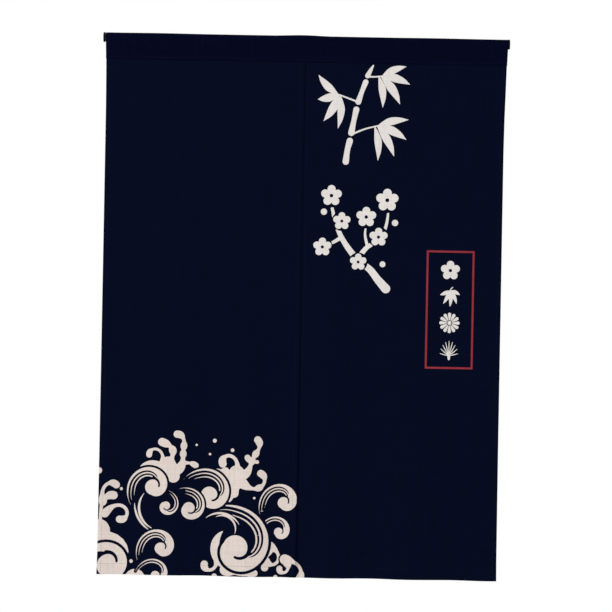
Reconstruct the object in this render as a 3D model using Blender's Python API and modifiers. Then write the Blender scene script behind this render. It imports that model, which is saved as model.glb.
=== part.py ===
"""A noren curtain on its rod, at real size in metres, with +Z up.

Seen from the front, +X is to the right and the front faces -Y. The origin is the
middle of the rod's axis. A heading folded over the rod carries two panels of cloth,
whose tops lie between its two layers. The panels meet at a slit that is open from the
heading down, and each has its bottom hem folded up behind it.
"""

import math
from typing import NamedTuple

import bmesh
import bpy
import numpy as np

COLLECTION = "noren_curtain"

# The rod and its end plugs
ROD_LENGTH = 0.900
ROD_DIAMETER = 0.019
ROD_WALL = 0.0007
ROD_SEGMENTS = 32
PLUG_HEAD_DIAMETER = 0.022
PLUG_HEAD_LENGTH = 0.0039
PLUG_HEAD_ROUNDING = 0.0016
PLUG_STEM_LENGTH = 0.016
PLUG_STEM_CHAMFER = 0.001
FIT_GAP = 0.0003

# The cloth, whose hems are folded double
CLOTH_THICKNESS = 0.0010
HEM_THICKNESS = 0.0014
SIDE_HEM = 0.011
SIDE_HEM_EASE = 0.002
BOTTOM_HEM = 0.026
BOTTOM_BEND_RADIUS = 0.0010
BOTTOM_HEM_TOP_OFFSET = 0.0017

# Heights, as depths below the rod's axis
HEADING_DEPTH = 0.047
SEAM_ALLOWANCE = 0.010
CLOTH_BOTTOM = 1.189

# The heading over the rod
POCKET_EASE = 0.0005
LAYER_OFFSET = 0.0015
POCKET_ARC_STEPS = 12
POCKET_SIDE_STEPS = 3
HEADING_COLUMNS = 26
HEADING_LEFT = (-0.4443, -0.4437)
HEADING_RIGHT = (0.4458, 0.4447)

# The slit between the panels
SLIT_TOP_X = -0.0034
SLIT_BOTTOM_X = -0.0043
SLIT_GAP = 0.0008

PANEL_COLUMNS = 18
PANEL_ROWS = 40
BEND_STEPS = 4
HEM_ROWS = 2


class Edge(NamedTuple):
    """Where the panels' outer edges lie at one depth."""

    depth: float
    left: float
    right: float


EDGES = (
    Edge(depth=0.037, left=-0.4434, right=0.4444),
    Edge(depth=0.047, left=-0.4432, right=0.4442),
    Edge(depth=0.100, left=-0.4425, right=0.4430),
    Edge(depth=0.160, left=-0.4420, right=0.4414),
    Edge(depth=0.240, left=-0.4420, right=0.4404),
    Edge(depth=0.900, left=-0.4421, right=0.4406),
    Edge(depth=1.140, left=-0.4425, right=0.4412),
    Edge(depth=1.189, left=-0.4436, right=0.4418),
)


class Fold(NamedTuple):
    """A soft ridge that runs down a panel, or a trough where its rise is negative."""

    top_x: float
    bottom_x: float
    start: float
    half_width: float
    rise: float


LEFT_FOLDS = (
    Fold(top_x=-0.442, bottom_x=-0.444, start=0.30, half_width=0.046, rise=0.0045),
    Fold(top_x=-0.372, bottom_x=-0.385, start=0.16, half_width=0.062, rise=-0.0035),
    Fold(top_x=-0.285, bottom_x=-0.302, start=0.09, half_width=0.068, rise=0.0060),
    Fold(top_x=-0.205, bottom_x=-0.212, start=0.42, half_width=0.058, rise=-0.0060),
    Fold(top_x=-0.128, bottom_x=-0.112, start=0.20, half_width=0.064, rise=0.0065),
    Fold(top_x=-0.048, bottom_x=-0.040, start=0.52, half_width=0.046, rise=-0.0040),
    Fold(top_x=-0.004, bottom_x=-0.002, start=0.46, half_width=0.040, rise=0.0030),
)
RIGHT_FOLDS = (
    Fold(top_x=-0.004, bottom_x=-0.006, start=0.55, half_width=0.038, rise=-0.0025),
    Fold(top_x=0.056, bottom_x=0.074, start=0.22, half_width=0.060, rise=0.0060),
    Fold(top_x=0.142, bottom_x=0.160, start=0.50, half_width=0.064, rise=-0.0070),
    Fold(top_x=0.258, bottom_x=0.246, start=0.12, half_width=0.072, rise=0.0065),
    Fold(top_x=0.336, bottom_x=0.344, start=0.60, half_width=0.056, rise=-0.0055),
    Fold(top_x=0.406, bottom_x=0.412, start=0.34, half_width=0.050, rise=0.0050),
)


# The share of its length that a drag line reaches from its middle, before it fades out
DRAG_REACH = 0.75


class Drag(NamedTuple):
    """A faint slanting trough, from one end to the other."""

    from_x: float
    from_depth: float
    to_x: float
    to_depth: float
    half_width: float
    sink: float


LEFT_DRAGS = (
    Drag(from_x=-0.300, from_depth=0.58, to_x=-0.252, to_depth=0.74, half_width=0.034, sink=0.0018),
    Drag(from_x=-0.300, from_depth=0.85, to_x=-0.110, to_depth=0.80, half_width=0.038, sink=0.0022),
)
RIGHT_DRAGS = (
    Drag(from_x=0.308, from_depth=0.68, to_x=0.068, to_depth=0.86, half_width=0.040, sink=0.0026),
    Drag(from_x=0.372, from_depth=0.80, to_x=0.318, to_depth=1.04, half_width=0.036, sink=0.0020),
)


class Lift(NamedTuple):
    """A place where the heading stands proud of the rod's top."""

    x: float
    half_width: float
    height: float


LIFTS = (
    Lift(x=-0.318, half_width=0.110, height=0.0005),
    Lift(x=-0.008, half_width=0.070, height=0.0018),
    Lift(x=0.290, half_width=0.120, height=0.0004),
)


def hump(distance: float, half_width: float) -> float:
    """A round bump: 1 in its middle, falling smoothly to 0 at its half width."""
    if abs(distance) >= half_width:
        return 0.0
    return 0.5 + 0.5 * math.cos(math.pi * distance / half_width)


def smooth_step(value: float) -> float:
    """Eases from 0 to 1 as the value goes from 0 to 1."""
    value = min(max(value, 0.0), 1.0)
    return value * value * (3 - 2 * value)


def blend(start: float, end: float, share: float) -> float:
    """The value that lies this share of the way from start to end."""
    return start + (end - start) * share


def fold_rise(fold: Fold, x: float, depth: float) -> float:
    """How far a fold brings the cloth forward at this place."""
    crest_x = blend(fold.top_x, fold.bottom_x, depth / CLOTH_BOTTOM)
    growth = smooth_step((depth - fold.start) / (CLOTH_BOTTOM - fold.start))
    return fold.rise * growth * hump(x - crest_x, fold.half_width)


def drag_sink(drag: Drag, x: float, depth: float) -> float:
    """How far a drag line takes the cloth back at this place."""
    along = np.array([drag.to_x - drag.from_x, drag.to_depth - drag.from_depth])
    offset = np.array([x - drag.from_x, depth - drag.from_depth])
    length = np.linalg.norm(along)
    share = float(offset @ along) / length**2
    across = float(offset[0] * along[1] - offset[1] * along[0]) / length
    return drag.sink * hump(share - 0.5, DRAG_REACH) * hump(across, drag.half_width)


def cloth_y(x: float, depth: float, folds: tuple, drags: tuple) -> float:
    """The panel's middle surface, where 0 is straight below the rod's axis."""
    rise = sum(fold_rise(fold, x, depth) for fold in folds)
    return sum(drag_sink(drag, x, depth) for drag in drags) - rise


def outer_edge(side: str, depth: float) -> float:
    """The x of the curtain's left or right edge at a depth."""
    depths = [edge.depth for edge in EDGES]
    return float(np.interp(depth, depths, [getattr(edge, side) for edge in EDGES]))


def slit_x(depth: float) -> float:
    """The middle of the slit at a depth."""
    return blend(SLIT_TOP_X, SLIT_BOTTOM_X, depth / CLOTH_BOTTOM)


def heading_lift(x: float) -> float:
    """How far the heading stands proud of the rod's top at this x."""
    return sum(lift.height * hump(x - lift.x, lift.half_width) for lift in LIFTS)


def new_material(name: str, colour: tuple, roughness: float, metallic: float) -> bpy.types.Material:
    """A Principled material with one colour."""
    material = bpy.data.materials.new(name)
    material.use_nodes = True
    shader = material.node_tree.nodes["Principled BSDF"]
    shader.inputs["Base Color"].default_value = (*colour, 1.0)
    shader.inputs["Roughness"].default_value = roughness
    shader.inputs["Metallic"].default_value = metallic
    material.diffuse_color = (*colour, 1.0)
    return material


def add_object(name: str, mesh: bpy.types.Mesh, material: bpy.types.Material) -> bpy.types.Object:
    """Puts a mesh into the curtain's collection as a named object."""
    obj = bpy.data.objects.new(name, mesh)
    mesh.materials.append(material)
    bpy.data.collections[COLLECTION].objects.link(obj)
    return obj


def turned_part(name: str, profile: list, material: bpy.types.Material) -> bpy.types.Object:
    """Turns a profile of (radius, height) points about Z, in a full circle."""
    mesh = bpy.data.meshes.new(name)
    points = [(radius, 0.0, height) for radius, height in profile]
    on_axis = profile[0][0] == 0.0
    edges = [(i, i + 1) for i in range(len(points) - 1)]
    if not on_axis:
        edges.append((len(points) - 1, 0))
    mesh.from_pydata(points, edges, [])
    obj = add_object(name, mesh, material)
    screw = obj.modifiers.new("turn", "SCREW")
    screw.axis = "Z"
    screw.steps = ROD_SEGMENTS
    screw.render_steps = ROD_SEGMENTS
    screw.use_merge_vertices = True
    screw.merge_threshold = 0.00001
    screw.use_smooth_shade = True
    return obj


def make_rod(material: bpy.types.Material) -> bpy.types.Object:
    """The steel tube, open at both ends."""
    outer = ROD_DIAMETER / 2
    inner = outer - ROD_WALL
    half = ROD_LENGTH / 2 - PLUG_HEAD_LENGTH - FIT_GAP
    profile = [(outer, half), (outer, -half), (inner, -half), (inner, half)]
    rod = turned_part("rod", profile, material)
    rod.rotation_euler = (0.0, math.radians(90), 0.0)
    return rod


def make_end_plug(name: str, side: int, material: bpy.types.Material) -> bpy.types.Object:
    """A plug with a round head, pushed into one end of the rod.

    Its profile runs down from the head's outer face, at the plug's own origin.
    """
    head = PLUG_HEAD_DIAMETER / 2
    stem = ROD_DIAMETER / 2 - ROD_WALL - FIT_GAP
    rounding = PLUG_HEAD_ROUNDING
    corner = [
        (
            head - rounding + rounding * math.sin(math.radians(angle)),
            -rounding + rounding * math.cos(math.radians(angle)),
        )
        for angle in (0, 30, 60, 90)
    ]
    profile = [(0.0, 0.0), *corner, (head, -PLUG_HEAD_LENGTH), (stem, -PLUG_HEAD_LENGTH)]
    stem_end = -PLUG_HEAD_LENGTH - PLUG_STEM_LENGTH
    chamfer = PLUG_STEM_CHAMFER
    profile += [(stem, stem_end + chamfer), (stem - chamfer, stem_end), (0.0, stem_end)]
    plug = turned_part(name, profile, material)
    plug.location = (side * ROD_LENGTH / 2, 0.0, 0.0)
    plug.rotation_euler = (0.0, math.radians(90 * side), 0.0)
    return plug


def sheet_object(
    name: str, shares: list, path_points: int, place, hem_columns: int, material: bpy.types.Material
) -> bpy.types.Object:
    """An open grid of cloth, given its thickness on both sides.

    shares holds one entry for each column of points. place(column, row) gives a point.
    The outermost hem_columns on each side have the hems' thickness.
    """
    columns = len(shares) - 1
    rows = path_points - 1
    mesh = bpy.data.meshes.new(name)
    grid = bmesh.new()
    bmesh.ops.create_grid(grid, x_segments=columns, y_segments=rows, size=0.5)
    grid.verts.ensure_lookup_table()
    places = [
        (round((vertex.co.x + 0.5) * columns), round((vertex.co.y + 0.5) * rows))
        for vertex in grid.verts
    ]
    for vertex, (column, row) in zip(grid.verts, places):
        vertex.co = place(column, row)
    for face in grid.faces:
        face.smooth = True
    grid.to_mesh(mesh)
    grid.free()
    obj = add_object(name, mesh, material)
    group = obj.vertex_groups.new(name="thickness")
    for index, (column, _) in enumerate(places):
        in_hem = min(column, columns - column) < hem_columns
        group.add([index], 1.0 if in_hem else CLOTH_THICKNESS / HEM_THICKNESS, "REPLACE")
    solidify = obj.modifiers.new("thickness", "SOLIDIFY")
    solidify.thickness = HEM_THICKNESS
    solidify.offset = 0.0
    solidify.use_even_offset = True
    solidify.vertex_group = "thickness"
    solidify.thickness_vertex_group = 0.0
    return obj


def pocket_path() -> list:
    """The heading's middle line as (y, z, lift share), from its front edge over the rod."""
    radius = ROD_DIAMETER / 2 + POCKET_EASE + CLOTH_THICKNESS / 2
    seam_z = -HEADING_DEPTH + SEAM_ALLOWANCE
    distance = math.hypot(LAYER_OFFSET, seam_z)
    # The angle, from straight down towards the front, at which the cloth meets the rod
    touch = math.atan2(LAYER_OFFSET, -seam_z) + math.acos(radius / distance)
    touch_y = -radius * math.sin(touch)
    touch_z = -radius * math.cos(touch)
    front = [(-LAYER_OFFSET, -HEADING_DEPTH, 0.0), (-LAYER_OFFSET, seam_z - SEAM_ALLOWANCE / 2, 0.0)]
    for step in range(POCKET_SIDE_STEPS):
        share = step / POCKET_SIDE_STEPS
        front.append((blend(-LAYER_OFFSET, touch_y, share), blend(seam_z, touch_z, share), 0.0))
    arc = []
    for step in range(POCKET_ARC_STEPS + 1):
        angle = blend(touch, 2 * math.pi - touch, step / POCKET_ARC_STEPS)
        z = -radius * math.cos(angle)
        arc.append((-radius * math.sin(angle), z, max(0.0, z / radius)))
    back = [(-y, z, lift) for y, z, lift in reversed(front)]
    return front + arc + back


def make_heading(material: bpy.types.Material) -> bpy.types.Object:
    """The strip that is folded over the rod, whose lower edges hold the panels."""
    path = pocket_path()
    shares = [column / HEADING_COLUMNS for column in range(HEADING_COLUMNS + 1)]

    def place(column: int, row: int) -> tuple:
        y, z, lift = path[row]
        down = min(max(-z / HEADING_DEPTH, 0.0), 1.0)
        x = blend(blend(*HEADING_LEFT, down), blend(*HEADING_RIGHT, down), shares[column])
        return x, y, z + lift * heading_lift(x)

    return sheet_object("heading", shares, len(path), place, 0, material)


def panel_path() -> list:
    """A panel's path as (depth, offset to the back), from its top to its hem's upper edge."""
    top = HEADING_DEPTH - SEAM_ALLOWANCE
    bend = CLOTH_BOTTOM - BOTTOM_BEND_RADIUS - HEM_THICKNESS / 2
    hem_top = CLOTH_BOTTOM - BOTTOM_HEM
    front = [(top, 0.0), (HEADING_DEPTH, 0.0)]
    for row in range(1, PANEL_ROWS + 1):
        front.append((blend(HEADING_DEPTH, bend, row / PANEL_ROWS), 0.0))
    curve = []
    for step in range(1, BEND_STEPS + 1):
        angle = math.pi * step / BEND_STEPS
        offset = BOTTOM_BEND_RADIUS * (1 - math.cos(angle))
        curve.append((bend + BOTTOM_BEND_RADIUS * math.sin(angle), offset))
    back = []
    for row in range(1, HEM_ROWS + 1):
        share = row / HEM_ROWS
        offset = blend(2 * BOTTOM_BEND_RADIUS, BOTTOM_HEM_TOP_OFFSET, share)
        back.append((blend(bend, hem_top, share), offset))
    return front + curve + back


def panel_columns(width: float) -> list:
    """Shares of a panel's width at which its columns of points lie, closer at the side hems."""
    hem = SIDE_HEM / width
    ease = SIDE_HEM_EASE / width
    inner = [
        blend(hem + ease, 1 - hem - ease, column / PANEL_COLUMNS)
        for column in range(PANEL_COLUMNS + 1)
    ]
    return [0.0, hem, *inner, 1 - hem, 1.0]


def make_panel(
    name: str, edges, folds: tuple, drags: tuple, material: bpy.types.Material
) -> bpy.types.Object:
    """A hanging panel. edges(depth) gives the x of its two sides."""
    path = panel_path()
    left, right = edges(CLOTH_BOTTOM / 2)
    shares = panel_columns(right - left)

    def place(column: int, row: int) -> tuple:
        depth, offset = path[row]
        x = blend(*edges(depth), shares[column])
        return x, cloth_y(x, depth, folds, drags) + offset, -depth

    return sheet_object(name, shares, len(path), place, 2, material)


def left_edges(depth: float) -> tuple:
    """The left panel's sides at a depth."""
    return outer_edge("left", depth), slit_x(depth) - SLIT_GAP / 2


def right_edges(depth: float) -> tuple:
    """The right panel's sides at a depth."""
    return slit_x(depth) + SLIT_GAP / 2, outer_edge("right", depth)


def clear_scene() -> None:
    """Removes every object, so that the curtain stands alone."""
    for obj in list(bpy.data.objects):
        bpy.data.objects.remove(obj, do_unlink=True)


def main() -> None:
    """Builds the rod, its plugs, the heading and the two panels."""
    clear_scene()
    bpy.context.scene.collection.children.link(bpy.data.collections.new(COLLECTION))
    steel = new_material("painted_steel_tube", (0.020, 0.022, 0.032), 0.40, 0.0)
    plastic = new_material("dark_moulded_plug", (0.006, 0.007, 0.011), 0.55, 0.0)
    plain_navy = new_material("navy_heading_cloth", (0.0028, 0.0036, 0.0130), 0.90, 0.0)
    printed_navy = new_material("navy_panel_cloth", (0.0028, 0.0040, 0.0145), 0.90, 0.0)
    make_rod(steel)
    make_end_plug("end_plug_left", -1, plastic)
    make_end_plug("end_plug_right", 1, plastic)
    make_heading(plain_navy)
    make_panel("left_panel", left_edges, LEFT_FOLDS, LEFT_DRAGS, printed_navy)
    make_panel("right_panel", right_edges, RIGHT_FOLDS, RIGHT_DRAGS, printed_navy)


main()
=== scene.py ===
"""The looks of a noren curtain on its rod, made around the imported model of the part.

Lengths are in metres, in the frame of the part: the origin is the middle of the rod's
axis, +X is to the right as seen from the front, the front faces -Y and +Z is up. The
printed design is drawn flat, in millimetres from the left panel's lower left corner.
"""

import sys

import logging
import math
from dataclasses import dataclass, field
from enum import Enum

import bpy
import numpy as np
from mathutils import Matrix, Vector, kdtree
from mathutils.geometry import delaunay_2d_cdt


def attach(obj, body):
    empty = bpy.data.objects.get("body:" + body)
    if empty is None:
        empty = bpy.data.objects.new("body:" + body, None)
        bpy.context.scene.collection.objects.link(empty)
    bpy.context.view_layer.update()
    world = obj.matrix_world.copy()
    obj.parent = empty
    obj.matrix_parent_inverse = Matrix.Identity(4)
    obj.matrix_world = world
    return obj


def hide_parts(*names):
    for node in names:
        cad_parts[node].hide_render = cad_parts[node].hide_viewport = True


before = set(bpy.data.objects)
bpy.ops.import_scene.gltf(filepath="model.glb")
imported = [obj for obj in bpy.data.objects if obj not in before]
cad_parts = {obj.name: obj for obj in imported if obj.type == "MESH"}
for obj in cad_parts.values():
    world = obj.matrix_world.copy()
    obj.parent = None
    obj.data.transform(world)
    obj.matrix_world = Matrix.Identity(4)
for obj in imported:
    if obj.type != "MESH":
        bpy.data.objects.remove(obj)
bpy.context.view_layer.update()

log = logging.getLogger("noren")

BODY = "root"
MM = 0.001

# The photo's camera: millimetres to a pixel, its turn, and where the rod's middle lies in it
IMAGE_SIZE = 612
MM_PER_PIXEL = 2.2145
PICTURE_TURN = math.asin(0.0187)
ROD_PIXEL_X = 306.76
ROD_PIXEL_Y = 40.85

# Sizes that the solids share
ROD_LENGTH = 0.900
ROD_DIAMETER = 0.019
ROD_WALL = 0.0007
PLUG_HEAD_DIAMETER = 0.022
PLUG_HEAD_LENGTH = 0.0039
PLUG_STEM_LENGTH = 0.016
FIT_GAP = 0.0003
HEADING_DEPTH = 0.047
SEAM_ALLOWANCE = 0.010
CLOTH_BOTTOM = 1.189
SLIT_TOP_X = -0.0034
SLIT_BOTTOM_X = -0.0043
SLIT_GAP = 0.0008

# The real cloth, thinner than the solid that stands for it
CLOTH_THICKNESS = 0.0005
SIDE_HEM = 0.011
SIDE_BEND_RADIUS = 0.0003
BOTTOM_HEM = 0.026
BOTTOM_BEND_RADIUS = 0.00095

# The left panel's lower left corner in the world, where the print's millimetres start
PRINT_ORIGIN_X = -0.442

# The name of the cloth's own map, in metres of flat cloth
FLAT_MAP = "flat_cloth"

# How far the hems' stitches lie from the hem's free edge, and the dip that stitches draw in
STITCH_INSET = 0.0025
STITCH_DIP = 0.00016
STITCH_DIP_WIDTH = 0.0012


def linear(hex_colour: str) -> tuple[float, float, float, float]:
    """Turns an sRGB hex colour to linear values.

    Args:
        hex_colour: Six hex digits after a hash.

    Returns:
        Red, green, blue and an alpha of 1.
    """
    values = [int(hex_colour[i : i + 2], 16) / 255 for i in (1, 3, 5)]
    red, green, blue = (v / 12.92 if v <= 0.04045 else ((v + 0.055) / 1.055) ** 2.4 for v in values)
    return red, green, blue, 1.0


def smooth_step(value: np.ndarray) -> np.ndarray:
    """Eases from 0 to 1 as the value goes from 0 to 1."""
    value = np.clip(value, 0.0, 1.0)
    return value * value * (3 - 2 * value)


def hump(distance: np.ndarray, half_width: float) -> np.ndarray:
    """A round bump: 1 in its middle, falling smoothly to 0 at its half width."""
    return 0.5 + 0.5 * np.cos(math.pi * np.clip(np.abs(distance) / half_width, 0.0, 1.0))


class Dye(Enum):
    """The colours of the printed cloth, numbered as its material slots are."""

    NAVY = 0
    CREAM = 1
    RED = 2
    PALE = 3


class Shape:
    """A flat rectangle of dye, painted over what comes before it."""

    def __init__(self, dye: Dye, low: np.ndarray, high: np.ndarray) -> None:
        """Keeps the dye and two corners of its box, in millimetres."""
        self.dye = dye
        self.low = np.array(low, float)
        self.high = np.array(high, float)

    def near(self, points: np.ndarray) -> np.ndarray:
        """Which of the points lie in the shape's box."""
        return np.all((points >= self.low) & (points <= self.high), axis=1)

    def holds(self, points: np.ndarray) -> np.ndarray:
        """Which of the points near the shape it covers."""
        return np.ones(len(points), bool)

    def move(self, x: float, y: float) -> None:
        """Moves the shape by x and y millimetres."""
        self.low = self.low + (x, y)
        self.high = self.high + (x, y)


class Disc(Shape):
    """A round spot of dye."""

    def __init__(self, x: float, y: float, radius: float, dye: Dye = Dye.CREAM) -> None:
        """Keeps the disc's middle and radius."""
        super().__init__(dye, (x - radius, y - radius), (x + radius, y + radius))
        self.radius = radius

    def holds(self, points: np.ndarray) -> np.ndarray:
        """Which of the points lie within the radius."""
        middle = (self.low + self.high) / 2
        return np.linalg.norm(points - middle, axis=1) <= self.radius


class Stroke(Shape):
    """A brush stroke of varying width with round ends."""

    def __init__(self, dye: Dye, line: np.ndarray, grow: float = 0.0) -> None:
        """Keeps the line, whose rows are x, y and the width, made wider by grow on each side."""
        self.line = line[:, :2]
        self.radius = np.maximum(line[:, 2] / 2 + grow, 0.25)
        wide = self.radius[:, None]
        super().__init__(dye, (self.line - wide).min(axis=0), (self.line + wide).max(axis=0))

    def holds(self, points: np.ndarray) -> np.ndarray:
        """Which of the points lie within the stroke's radius of its line."""
        start = self.line[:-1]
        along = self.line[1:] - start
        length = np.maximum((along**2).sum(axis=1), 1e-9)
        offset = points[:, None, :] - start
        share = np.clip((offset * along).sum(axis=2) / length, 0, 1)
        distance = np.linalg.norm(offset - along * share[..., None], axis=2)
        radius = self.radius[:-1] + (self.radius[1:] - self.radius[:-1]) * share
        return (distance <= radius).any(axis=1)

    def move(self, x: float, y: float) -> None:
        """Moves the stroke and its line."""
        super().move(x, y)
        self.line = self.line + (x, y)


def moved(shapes: list[Shape], x: float, y: float) -> list[Shape]:
    """Moves shapes by x and y millimetres, and gives them back."""
    for shape in shapes:
        shape.move(x, y)
    return shapes


def smooth_line(knots: np.ndarray, step: float) -> np.ndarray:
    """Draws a smooth curve through knots.

    Args:
        knots: Rows of x, y and a width.
        step: About how far apart the curve's points lie.

    Returns:
        Rows of x, y and a width along the curve.
    """
    ends = np.vstack([2 * knots[0] - knots[1], knots, 2 * knots[-1] - knots[-2]])
    rows = []
    for index in range(1, len(ends) - 2):
        before, start, end, after = ends[index - 1 : index + 3]
        count = max(3, int(np.linalg.norm(end[:2] - start[:2]) / step))
        for share in np.arange(count) / count:
            bend = (2 * before - 5 * start + 4 * end - after) * share**2
            twist = (3 * start - before - 3 * end + after) * share**3
            rows.append(0.5 * (2 * start + (end - before) * share + bend + twist))
    rows.append(ends[-2])
    return np.array(rows)


def strokes(rows: list, dye: Dye = Dye.CREAM) -> list[Shape]:
    """Smooth strokes, each from a list of knots as (x, y, width)."""
    return [Stroke(dye, smooth_line(np.array(knots, float), 3.0)) for knots in rows]


def pointed(share: np.ndarray, fullness: float) -> np.ndarray:
    """A width that is nearly 0 at both ends of a line and 1 in its middle."""
    return np.maximum(np.sin(math.pi * np.clip(share, 0.0, 1.0)), 0.03) ** fullness


def foam(lines: list[np.ndarray], halo: float) -> list[Shape]:
    """Lines of water that run together inside one dark surround.

    Args:
        lines: Rows of x, y and a width for each line.
        halo: How wide the surround is, or 0 for none.

    Returns:
        The surrounds and then the lines.
    """
    around = [Stroke(Dye.NAVY, line, halo) for line in lines] if halo else []
    return around + [Stroke(Dye.CREAM, line) for line in lines]


@dataclass(frozen=True)
class Curl:
    """A wave's head: a band that winds clockwise from a thin tail into a round bulb.

    All curls share one spiral and its proportions, and differ in place, size and turn. The
    four that rise alone reach out further, and the corner's is stockier. A place on a curl is
    a share of its sweep, 0 at the tail and 1 on the bulb.
    """

    x: float
    y: float
    bulb: float
    start: float
    lines: int = 2
    reach: float = 3.7
    sweep: float = 310
    band: float = 0.5
    meet: float = 0.58

    # Shares of the bulb's radius, but for the tail and the line, which are shares of the
    # band and of the lines' pitch
    TAIL = 0.28
    OVERLAP = 0.10
    LINE = 0.43
    CHANNEL = 0.34

    @property
    def halo(self) -> float:
        """The width of the curl's dark surround."""
        return 2.0 + 0.17 * self.bulb

    @property
    def pitch(self) -> float:
        """How far apart the fine lines of water lie."""
        return 3.5 + 0.2 * self.bulb

    def outer(self, share: np.ndarray) -> np.ndarray:
        """The outer edge's radius at these shares of the sweep."""
        return self.bulb * (1 + (self.reach - 1) * (1 - share))

    def band_width(self, share: np.ndarray) -> np.ndarray:
        """The band's width, which swells until its inner edge runs into the bulb at the meet."""
        bulb_edge = (1 - self.OVERLAP) * self.bulb
        at_meet = self.outer(np.array(self.meet)) - bulb_edge
        along = np.clip(share / self.meet, 0, 1)
        full = self.bulb * self.band
        width = full * (self.TAIL + (1 - self.TAIL) * along) * smooth_step(share / 0.12 + 0.05)
        width = width + (at_meet - full) * along**5
        past = np.clip((share - self.meet) / (1 - self.meet), 0, 1)
        return np.where(share < self.meet, width, self.outer(share) - bulb_edge * (1 - past))

    def at(self, share: np.ndarray, radius: np.ndarray) -> np.ndarray:
        """The points at these shares of the sweep and these radii."""
        angle = np.radians(self.start - self.sweep * share)
        return np.column_stack([self.x + radius * np.cos(angle), self.y + radius * np.sin(angle)])

    def mantle(self, first: float, last: float, width: float) -> np.ndarray:
        """The line of a crescent of foam that hugs the curl's back.

        Args:
            first: The share of the sweep at which it begins.
            last: The share at which it ends.
            width: Its greatest width.

        Returns:
            Rows of x, y and a width.
        """
        share = np.linspace(first, last, 16)
        wide = width * pointed((share - first) / (last - first), 0.6)
        return np.column_stack([self.at(share, self.outer(share) + wide / 2), wide])

    def shapes(self) -> list[Shape]:
        """The curl's areas, from its dark surround up."""
        share = np.linspace(0, 1, max(30, int(self.sweep / 6)))
        width = self.band_width(share)
        head = np.column_stack([self.at(share, self.outer(share) - width / 2), width])
        made = [Stroke(Dye.NAVY, head, self.halo)]
        made += [self.water_line(number) for number in range(self.lines)]
        made.append(Disc(self.x, self.y, self.bulb + 0.5 * self.halo, Dye.NAVY))
        made += [Stroke(Dye.CREAM, head), Disc(self.x, self.y, self.bulb), self.channel()]
        return made

    def water_line(self, number: int) -> Shape:
        """A fine line that follows the band's inner side, counted from the band inwards."""
        share = np.linspace(0.02 + 0.03 * number, self.meet * (0.97 - 0.07 * number), 36)
        along = (share - share[0]) / (share[-1] - share[0])
        pitch = self.pitch * (1.15 - 0.20 * smooth_step(along))
        width = np.maximum(self.LINE * self.pitch * pointed(along, 0.6), 0.4)
        radius = self.outer(share) - self.band_width(share) - pitch * (number + 0.8)
        return Stroke(Dye.CREAM, np.column_stack([self.at(share, radius), width]))

    def channel(self) -> Shape:
        """The dark hook that runs in between the band and the bulb."""
        share = np.linspace(self.meet - 0.16, self.meet + 0.10, 18)
        along = (share - share[0]) / (share[-1] - share[0])
        radius = self.bulb * (1.20 - 0.40 * along**1.5)
        width = self.bulb * self.CHANNEL * (1 - 0.35 * along)
        return Stroke(Dye.NAVY, np.column_stack([self.at(share, radius), width]))


@dataclass(frozen=True)
class Crescent:
    """Water along an arc, pointed at both ends. A negative sweep runs clockwise."""

    x: float
    y: float
    radius: float
    start: float
    sweep: float
    width: float

    def line(self) -> np.ndarray:
        """The arc as rows of x, y and a width."""
        share = np.linspace(0, 1, max(12, int(abs(self.sweep) / 7)))
        angle = np.radians(self.start + self.sweep * share)
        x = self.x + self.radius * np.cos(angle)
        y = self.y + self.radius * np.sin(angle)
        return np.column_stack([x, y, self.width * pointed(share, 0.7)])


@dataclass(frozen=True)
class Finger:
    """A finger of spray: it grows from its root, may carry knobs, and hooks over to a round tip."""

    x: float
    y: float
    heading: float
    length: float
    hook: float
    root: float
    tip: float
    knobs: int = 0
    sway: float = 0.0

    # The width between the knobs and how much a knob adds, as shares of the tip's width
    NECK = 0.45
    KNOB = 0.48

    def line(self) -> np.ndarray:
        """The finger as rows of x, y and a width. It may sway to both sides on its way."""
        count = max(16, int(self.length / 2.0))
        share = np.linspace(0, 1, count)
        turn = self.hook * share[:-1] ** 1.7 + self.sway * np.sin(2 * math.pi * share[:-1])
        angle = np.radians(self.heading + turn)
        step = self.length / (count - 1)
        x = self.x + np.concatenate([[0.0], np.cumsum(np.cos(angle) * step)])
        y = self.y + np.concatenate([[0.0], np.cumsum(np.sin(angle) * step)])
        neck = self.tip * self.NECK
        reach = 0.5 * self.tip / self.length
        width = self.root + (neck - self.root) * smooth_step(share / 0.38)
        width = width + (self.tip - neck) * smooth_step((share - 1 + 2.4 * reach) / (1.7 * reach))
        for number in range(self.knobs):
            middle = 0.32 + 0.40 * (number + 0.5) / self.knobs
            width = width + self.KNOB * self.tip * np.exp(-(((share - middle) / (0.75 * reach)) ** 2))
        return np.column_stack([x, y, width])


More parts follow.
